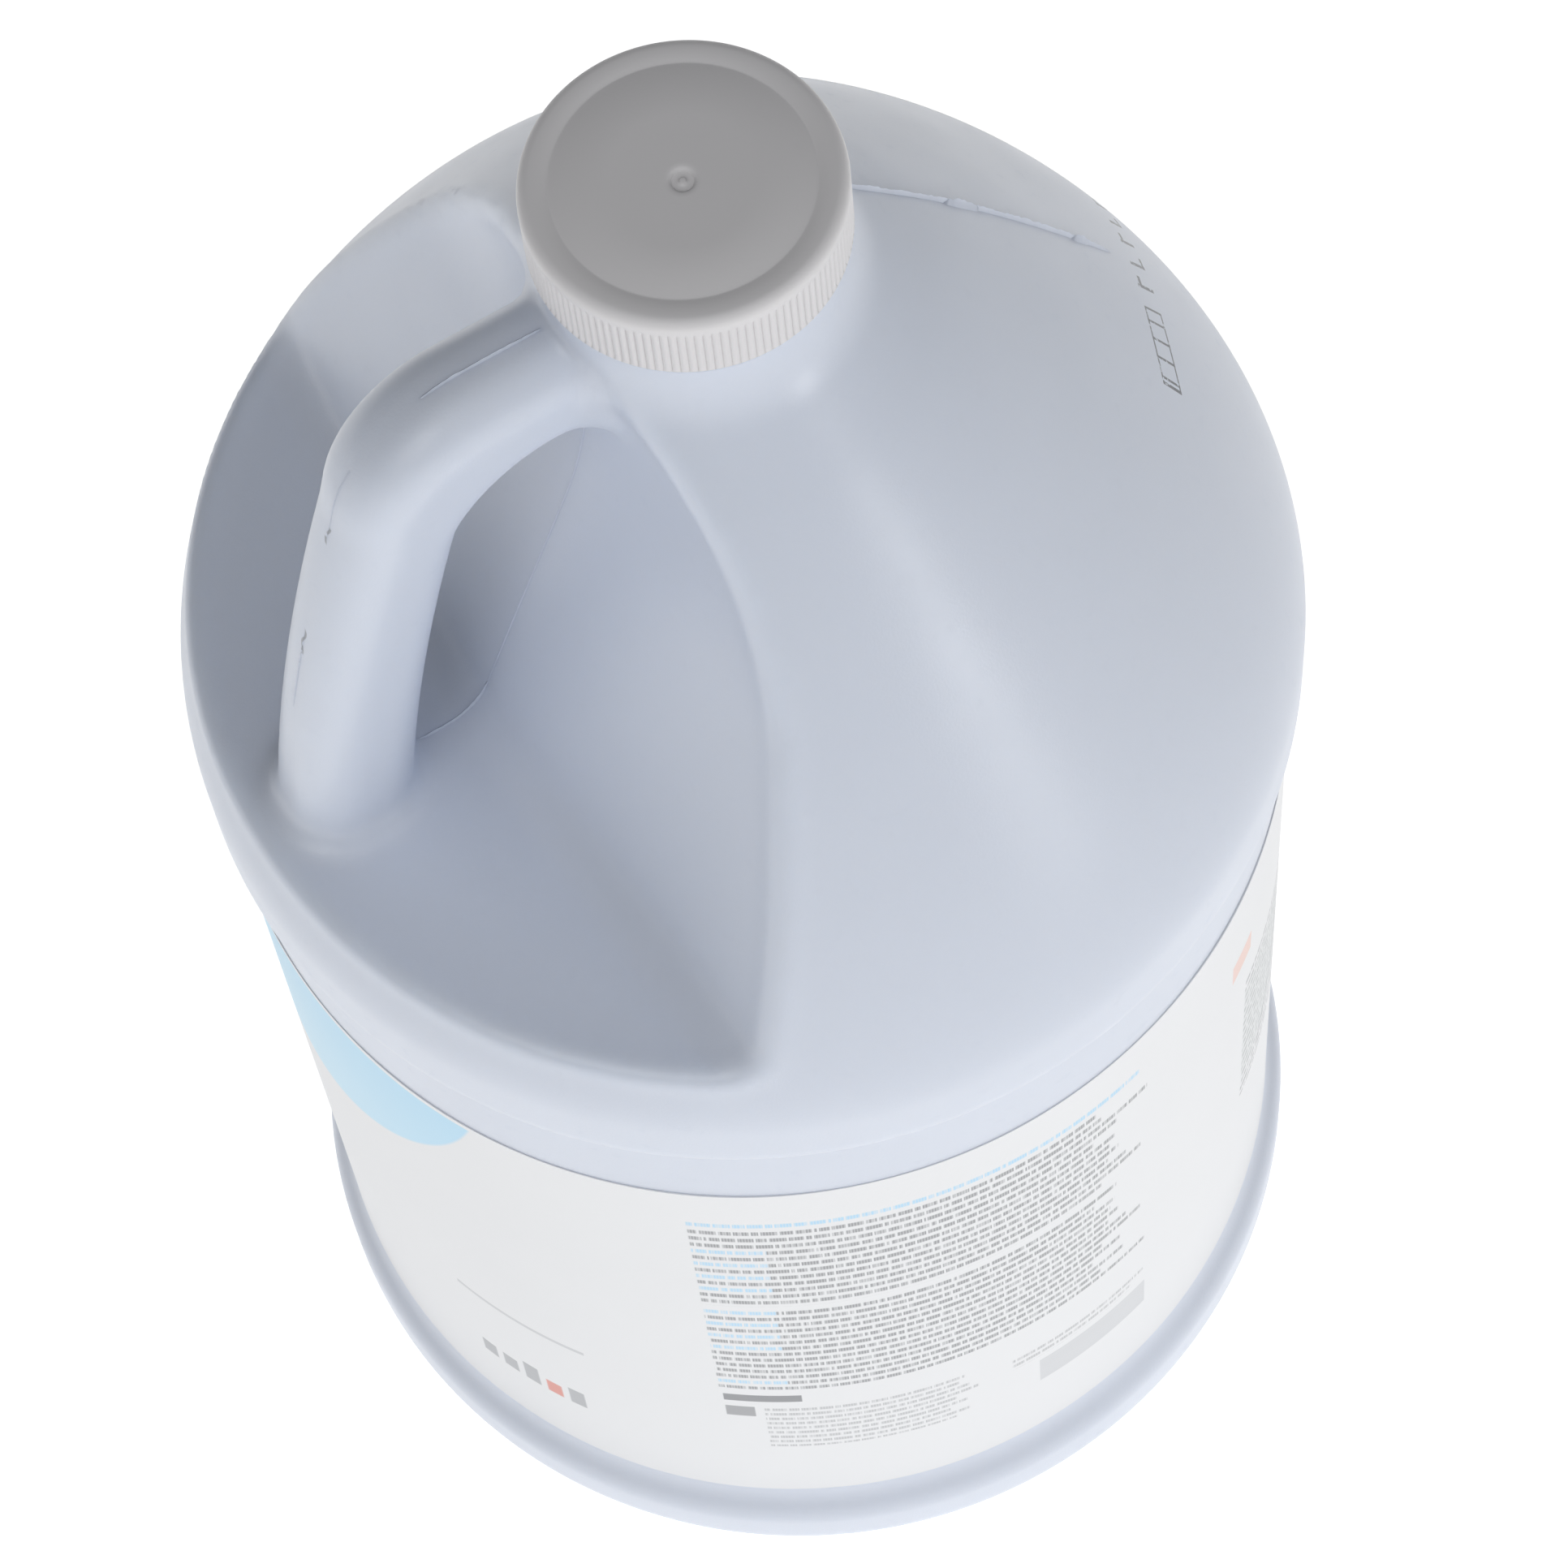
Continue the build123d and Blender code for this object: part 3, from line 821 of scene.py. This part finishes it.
def moulded_plastic(name, colour, roughness, grain, wave, marks, group):
    """Satin moulded plastic: returns the material, its tree, its shader and its colour mask."""
    material, tree, shader = new_material(name)
    skin = tree.nodes.new("ShaderNodeGroup")
    skin.node_tree = group
    for socket, value in (("Grain", grain), ("Waviness", wave), ("Marks", marks)):
        skin.inputs[socket].default_value = value
    bump = tree.nodes.new("ShaderNodeBump")
    bump.inputs["Strength"].default_value = 1.0
    bump.inputs["Distance"].default_value = 0.001
    tree.links.new(skin.outputs["Height"], bump.inputs["Height"])
    tree.links.new(bump.outputs["Normal"], shader.inputs["Normal"])
    rough = Value(tree, skin.outputs["Dull"]) + roughness
    tree.links.new(rough.socket, shader.inputs["Roughness"])
    tone = Value(tree, skin.outputs["Tone"])
    darker = tuple(c * 0.8 for c in colour)
    base = mix_colour(tree, tone * 4 + 0.08, colour, darker)
    tree.links.new(base, shader.inputs["Base Color"])
    return material, tree, shader, base


def bottle_plastic(group):
    """Blown polyethylene, white with a cool cast, with a printed lot mark on the shoulder."""
    colour = (0.69, 0.752, 0.885)
    material, tree, shader, base = moulded_plastic("bottle_plastic", colour, 0.33, 1, 1, 1, group)
    shader.inputs["Specular IOR Level"].default_value = 0.65
    shader.inputs["Subsurface Weight"].default_value = 0.25
    shader.inputs["Subsurface Radius"].default_value = (0.005, 0.006, 0.0075)
    shader.inputs["Subsurface Scale"].default_value = 1.0
    tree.links.new(grip_scuffs(tree, lot_mark(tree, base)), shader.inputs["Base Color"])
    return material


def cap_plastic(group):
    """Moulded polypropylene, a warm grey-white."""
    colour = (0.745, 0.73, 0.735)
    material, _, shader, _ = moulded_plastic("cap_plastic", colour, 0.42, 0.6, 0.4, 0.7, group)
    shader.inputs["Specular IOR Level"].default_value = 0.35
    return material


def liner_foam(group):
    material, _, shader, _ = moulded_plastic("liner_foam", (0.86, 0.86, 0.84), 0.75, 6, 0.6, 1, group)
    shader.inputs["Specular IOR Level"].default_value = 0.2
    return material


def detergent_liquid():
    """Clear pale blue detergent."""
    material, tree, shader = new_material("liquid")
    shader.inputs["Roughness"].default_value = 0.03
    shader.inputs["IOR"].default_value = 1.34
    shader.inputs["Transmission Weight"].default_value = 0.6
    cloud = noise(tree, 30, 2, place(tree))
    base = mix_colour(tree, cloud, (0.62, 0.76, 0.86), (0.55, 0.72, 0.84))
    tree.links.new(base, shader.inputs["Base Color"])
    return material


def around(tree):
    """Degrees round the jug from +X towards +Y, 0 to 360, and height, both from the point itself."""
    split = tree.nodes.new("ShaderNodeSeparateXYZ")
    tree.links.new(place(tree), split.inputs[0])
    x = Value(tree, split.outputs["X"])
    y = Value(tree, split.outputs["Y"])
    height = Value(tree, split.outputs["Z"]) * (1 / MM)
    turn = y.math("ARCTAN2", x) * (180 / math.pi)
    turn = (turn + 360).math("MODULO", 360.0)
    return turn, height


def lot_mark(tree, base):
    """A ladder and a few short strokes, jetted on the shoulder across the parting line."""
    turn, height = around(tree)
    turn = (turn + 180).math("MODULO", 360.0) - 180
    off = turn + 20.7
    rise = height - 226.6 + off * off * 0.0165
    tall = rise.between(-2.0, 2.0, 0.1)
    ink = (rise.math("ABSOLUTE")).between(1.75, 2.05, 0.08) * turn.between(-21.2, -8.6, 0.05)
    for spot, wide in ((-21.0, 0.25), (-20.1, 0.2), (-17, 0.2), (-14, 0.2), (-11, 0.2), (-8.7, 0.2)):
        ink = ink + turn.between(spot - wide, spot + wide, 0.05) * tall
    for number, spot in enumerate((-4.6, -0.2, 4.4, 8.8, 13.2)):
        bar = turn.between(spot - 0.32, spot + 0.32, 0.06) * tall
        dash = rise.between(-1.9, -1.3, 0.1) if number % 2 else rise.between(0.9, 1.6, 0.1)
        ink = ink + bar + dash * turn.between(spot, spot + 1.9, 0.06)
    ink = ink.math("MINIMUM", 1.0)
    ink = ink * noise(tree, 1500, 1, place(tree)).over(0.36, 0.06)
    return mix_colour(tree, ink * 0.88, base, (0.03, 0.035, 0.045))


def grip_scuffs(tree, base):
    """Two short dark scuffs on the flash down the outside of the grip."""
    split = tree.nodes.new("ShaderNodeSeparateXYZ")
    tree.links.new(place(tree), split.inputs[0])
    x = Value(tree, split.outputs["X"]) * (1 / MM)
    y = Value(tree, split.outputs["Y"]) * (1 / MM)
    height = Value(tree, split.outputs["Z"]) * (1 / MM)
    heights = height.between(262.2, 265.6, 0.2) + height.between(237.0, 243.8, 0.3)
    bend = (height * 1.7).math("SINE") * 0.25
    line = (y - bend).math("ABSOLUTE").over(0.22, 0.08).inverted()
    broken = noise(tree, 700, 1, place(tree)).over(0.42, 0.06)
    scuff = line * heights * broken * x.over(-48, 0.5).inverted()
    return mix_colour(tree, scuff * 0.6, base, (0.12, 0.12, 0.13))


def random_of(tree, value, salt):
    node = tree.nodes.new("ShaderNodeTexWhiteNoise")
    node.noise_dimensions = "1D"
    tree.links.new((value + salt).socket, node.inputs["W"])
    return Value(tree, node.outputs["Value"])


def bars(tree, turn, height, left, right, top, bottom, pitch, salt):
    """Rows of broken strokes that stand for small print: a mask and the row number."""
    rows = ((height * -1) + top) * (1 / pitch)
    row = rows.math("FLOOR")
    inside = rows - row
    ragged = random_of(tree, row, salt) * 0.16
    end = (ragged * (left - right)) + right
    body = (end - turn).over(0.0, 0.15) * turn.over(left, 0.1)
    body = body * height.between(bottom, top, 0.05)
    line = inside.between(0.24, 0.76, 0.07)
    words = (turn * 0.62 + row * 7.31).math("FLOOR")
    shift = random_of(tree, words, salt + 5.7) * 0.9
    spaces = ((turn * 0.62 + row * 7.31) - words) - shift
    word = spaces.math("ABSOLUTE").over(0.075, 0.02)
    letter = random_of(tree, (turn * 3.1 + row * 13.7).math("FLOOR"), salt + 2.3)
    letter = letter.over(0.25, 0.1) * 0.45 + 0.55
    wave = (turn * 19.5).math("SINE") * 0.22 + 0.78
    return body * line * word * letter * wave, row


def label_film():
    """Printed film: white with a pale blue disc, rows of small print and plain blocks."""
    material, tree, shader = new_material("label_film")
    turn, height = around(tree)
    paper = (0.83, 0.835, 0.845)
    dark = (0.16, 0.165, 0.18)
    blue = (0.36, 0.68, 0.92)
    cloud = noise(tree, 45, 3, place(tree))
    sheet = mix_colour(tree, cloud * 0.5, paper, (0.80, 0.805, 0.82))
    edge_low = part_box("label")[0].z / MM
    edge_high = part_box("label")[1].z / MM
    inside = height.between(edge_low + 1.0, edge_high - 1.3, 0.08)
    # pale blue disc, centred above the label's top edge
    across = (turn - 160) * (math.pi / 180 * PANEL_RADIUS)
    up = height - 174.4
    away = (across * across + up * up).math("SQRT")
    disc = away.over(65, 0.25).inverted() * inside
    fading = (height - 109) * (1 / 50)
    disc_colour = mix_colour(tree, fading, (0.56, 0.82, 0.97), (0.46, 0.74, 0.93))
    sheet = mix_colour(tree, disc, sheet, disc_colour)
    # small print: left, right, top, bottom, pitch, strength, colour
    columns = (
        (231.7, 285.3, 147.0, 144.4, 2.6, 0.9, blue, 1.0),
        (231.7, 285.3, 144.0, 112.0, 2.62, 0.85, dark, 2.0),
        (231.7, 285.3, 110.5, 74.5, 2.62, 0.85, dark, 5.0),
        (236.5, 262.0, 66.0, 47.0, 2.2, 0.5, dark, 9.0),
        (266.0, 285.3, 62.5, 57.5, 2.2, 0.5, dark, 12.0),
        (306.0, 344.0, 120.0, 74.0, 2.62, 0.7, dark, 14.0),
        (84.0, 112.0, 66.0, 42.0, 2.62, 0.7, dark, 21.0),
    )
    for left, right, top, bottom, pitch, strength, colour, salt in columns:
        mask, row = bars(tree, turn, height, left, right, top, bottom, pitch, salt)
        if colour == dark and right - left > 40:
            bold = random_of(tree, row, salt + 8).over(0.72, 0.001)
            bold = bold * (turn - left).over(8, 0.1).inverted()
            ink = mix_colour(tree, bold, dark, blue)
        else:
            ink = colour
        sheet = mix_colour(tree, mask * strength, sheet, ink)
    # plain shapes: left, right, low, high, colour, strength
    shapes = (
        (198.0, 215.5, 72.9, 74.1, (0.55, 0.56, 0.58), 0.8),
        (232.0, 241.0, 68.6, 71.6, dark, 0.85),
        (232.0, 235.4, 61.5, 66.0, dark, 0.7),
        (269.5, 285.3, 46.0, 55.5, (0.62, 0.63, 0.65), 0.8),
        (302.0, 307.0, 130.0, 136.0, (0.90, 0.45, 0.32), 0.55),
        (306.0, 330.0, 82.0, 116.0, (0.55, 0.60, 0.58), 0.25),
        (84.0, 90.0, 72.0, 84.0, blue, 0.8),
        (92.0, 98.0, 72.0, 84.0, (0.62, 0.63, 0.65), 0.8),
    )
    for left, right, low, high, colour, strength in shapes:
        mask = turn.between(left, right, 0.06) * height.between(low, high, 0.08)
        sheet = mix_colour(tree, mask * strength, sheet, colour)
    # a plain row of rounded blocks in place of a name
    for number, tall in enumerate((5.2, 5.2, 7.6, 5.2, 6.8)):
        centre = 200.5 + 3.1 * number
        mask = turn.between(centre - 1.05, centre + 1.05, 0.1)
        mask = mask * height.between(45.2, 45.2 + tall, 0.15)
        ink = (0.75, 0.22, 0.16) if number == 3 else (0.40, 0.41, 0.43)
        sheet = mix_colour(tree, mask * 0.9, sheet, ink)
    line = (height - 92 - (turn - 318) * 2.2).math("ABSOLUTE").over(0.5, 0.1).inverted()
    line = line * turn.between(312, 324, 0.1)
    sheet = mix_colour(tree, line * 0.8, sheet, dark)
    tree.links.new(sheet, shader.inputs["Base Color"])
    shader.inputs["Roughness"].default_value = 0.36
    shader.inputs["Specular IOR Level"].default_value = 0.35
    bump = tree.nodes.new("ShaderNodeBump")
    bump.inputs["Distance"].default_value = 0.0004
    slow = noise(tree, 34, 2, place(tree))
    fine = noise(tree, 900, 2, place(tree))
    tree.links.new((slow * 0.6 + fine * 0.05).socket, bump.inputs["Height"])
    tree.links.new(bump.outputs["Normal"], shader.inputs["Normal"])
    return material


# ---------------------------------------------------------------- the pieces on their bodies

grain_group = moulded_skin_group()
bottle_finish = bottle_plastic(grain_group)
cap_finish = cap_plastic(grain_group)

bottle = make_bottle(bottle_finish)
cap = make_cap(cap_finish)
liner = make_liner(liner_foam(grain_group))
label = make_label(label_film())
for piece, body, node, slot in (
    (bottle, "jug", "bottle", "bottle_plastic"),
    (cap, "cap", "screw_cap", "cap_plastic"),
    (liner, "liner", "cap_liner", "liner_foam"),
    (label, "jug", "label", "label_film"),
):
    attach(piece, body)
    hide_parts(node)
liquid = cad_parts["detergent"]
liquid.data.materials.clear()
liquid.data.materials.append(detergent_liquid())

# ---------------------------------------------------------------- floor, light and camera


def make_floor():
    """A pale round floor that runs out of sight."""
    mesh = bpy.data.meshes.new("floor")
    angles = np.linspace(0, 2 * math.pi, 96, endpoint=False)
    mesh.from_pydata([(6 * math.cos(a), 6 * math.sin(a), 0) for a in angles], [], [range(96)])
    floor = bpy.data.objects.new("floor", mesh)
    bpy.context.scene.collection.objects.link(floor)
    material, _, shader = new_material("pale_floor")
    shader.inputs["Base Color"].default_value = (0.5, 0.5, 0.5, 1)
    shader.inputs["Roughness"].default_value = 0.9
    shader.inputs["Specular IOR Level"].default_value = 0.1
    shader.inputs["Emission Color"].default_value = (1, 1, 1, 1)
    shader.inputs["Emission Strength"].default_value = 0.92
    mesh.materials.append(material)
    return floor


def make_sky():
    """Even studio surround, brighter low down than overhead."""
    world = bpy.data.worlds.new("studio")
    bpy.context.scene.world = world
    world.use_nodes = True
    tree = world.node_tree
    back = tree.nodes["Background"]
    split = tree.nodes.new("ShaderNodeSeparateXYZ")
    where = tree.nodes.new("ShaderNodeTexCoord").outputs["Generated"]
    tree.links.new(where, split.inputs[0])
    ramp = tree.nodes.new("ShaderNodeValToRGB")
    tree.links.new(split.outputs["Z"], ramp.inputs[0])
    stops = ((0.0, 1.0), (0.22, 0.36), (0.6, 0.42), (1.0, 1.35))
    for number, (spot, level) in enumerate(stops):
        stop = ramp.color_ramp.elements[number] if number < 2 else ramp.color_ramp.elements.new(spot)
        stop.position = spot
        stop.color = (level * 0.985, level, level * 1.02, 1)
    tree.links.new(ramp.outputs[0], back.inputs["Color"])
    front = Value(tree, split.outputs["Y"]) * -1 + Value(tree, split.outputs["X"]) * -0.2
    side = front.over(0.05, 0.6) * 1.0 + 0.03
    tree.links.new(side.socket, back.inputs["Strength"])


def make_panel_light(name, azimuth, elevation, away, width, height, power):
    """A soft box light that faces the middle of the jug."""
    light = bpy.data.lights.new(name, "AREA")
    light.shape = "RECTANGLE"
    light.size = width
    light.size_y = height
    light.energy = power
    lamp = bpy.data.objects.new(name, light)
    turn, rise = math.radians(azimuth), math.radians(elevation)
    way = Vector((math.cos(turn) * math.cos(rise), math.sin(turn) * math.cos(rise), math.sin(rise)))
    centre = Vector((0, 0, 0.18))
    lamp.location = centre + away * way
    lamp.rotation_euler = (-way).to_track_quat("-Z", "Y").to_euler()
    bpy.context.scene.collection.objects.link(lamp)


def make_camera():
    """High three-quarter view, looking down past the cap."""
    heading, pitch, roll = math.radians(65.967), math.radians(65.592), math.radians(-7.409)
    forward = Vector(
        (math.cos(heading) * math.cos(pitch), math.sin(heading) * math.cos(pitch), -math.sin(pitch))
    )
    level = Vector((math.sin(heading), -math.cos(heading), 0))
    upright = level.cross(forward)
    right = level * math.cos(roll) + upright * math.sin(roll)
    up = -level * math.sin(roll) + upright * math.cos(roll)
    lens = bpy.data.cameras.new("camera")
    lens.lens = 130.52
    lens.sensor_width = 36
    camera = bpy.data.objects.new("camera", lens)
    place_at = Vector((-0.13642, -0.31248, 0.87759))
    turn = Matrix((right, up, -forward)).transposed().to_4x4()
    camera.matrix_world = Matrix.Translation(place_at) @ turn
    bpy.context.scene.collection.objects.link(camera)
    bpy.context.scene.camera = camera


make_floor()
make_sky()
make_panel_light("key_handle_side", 212, 45, 1.3, 0.6, 0.6, 1.7)
make_panel_light("streak_strip", -66, 1, 1.1, 0.05, 0.5, 1.3)
make_camera()
bpy.context.scene.view_settings.view_transform = "Standard"
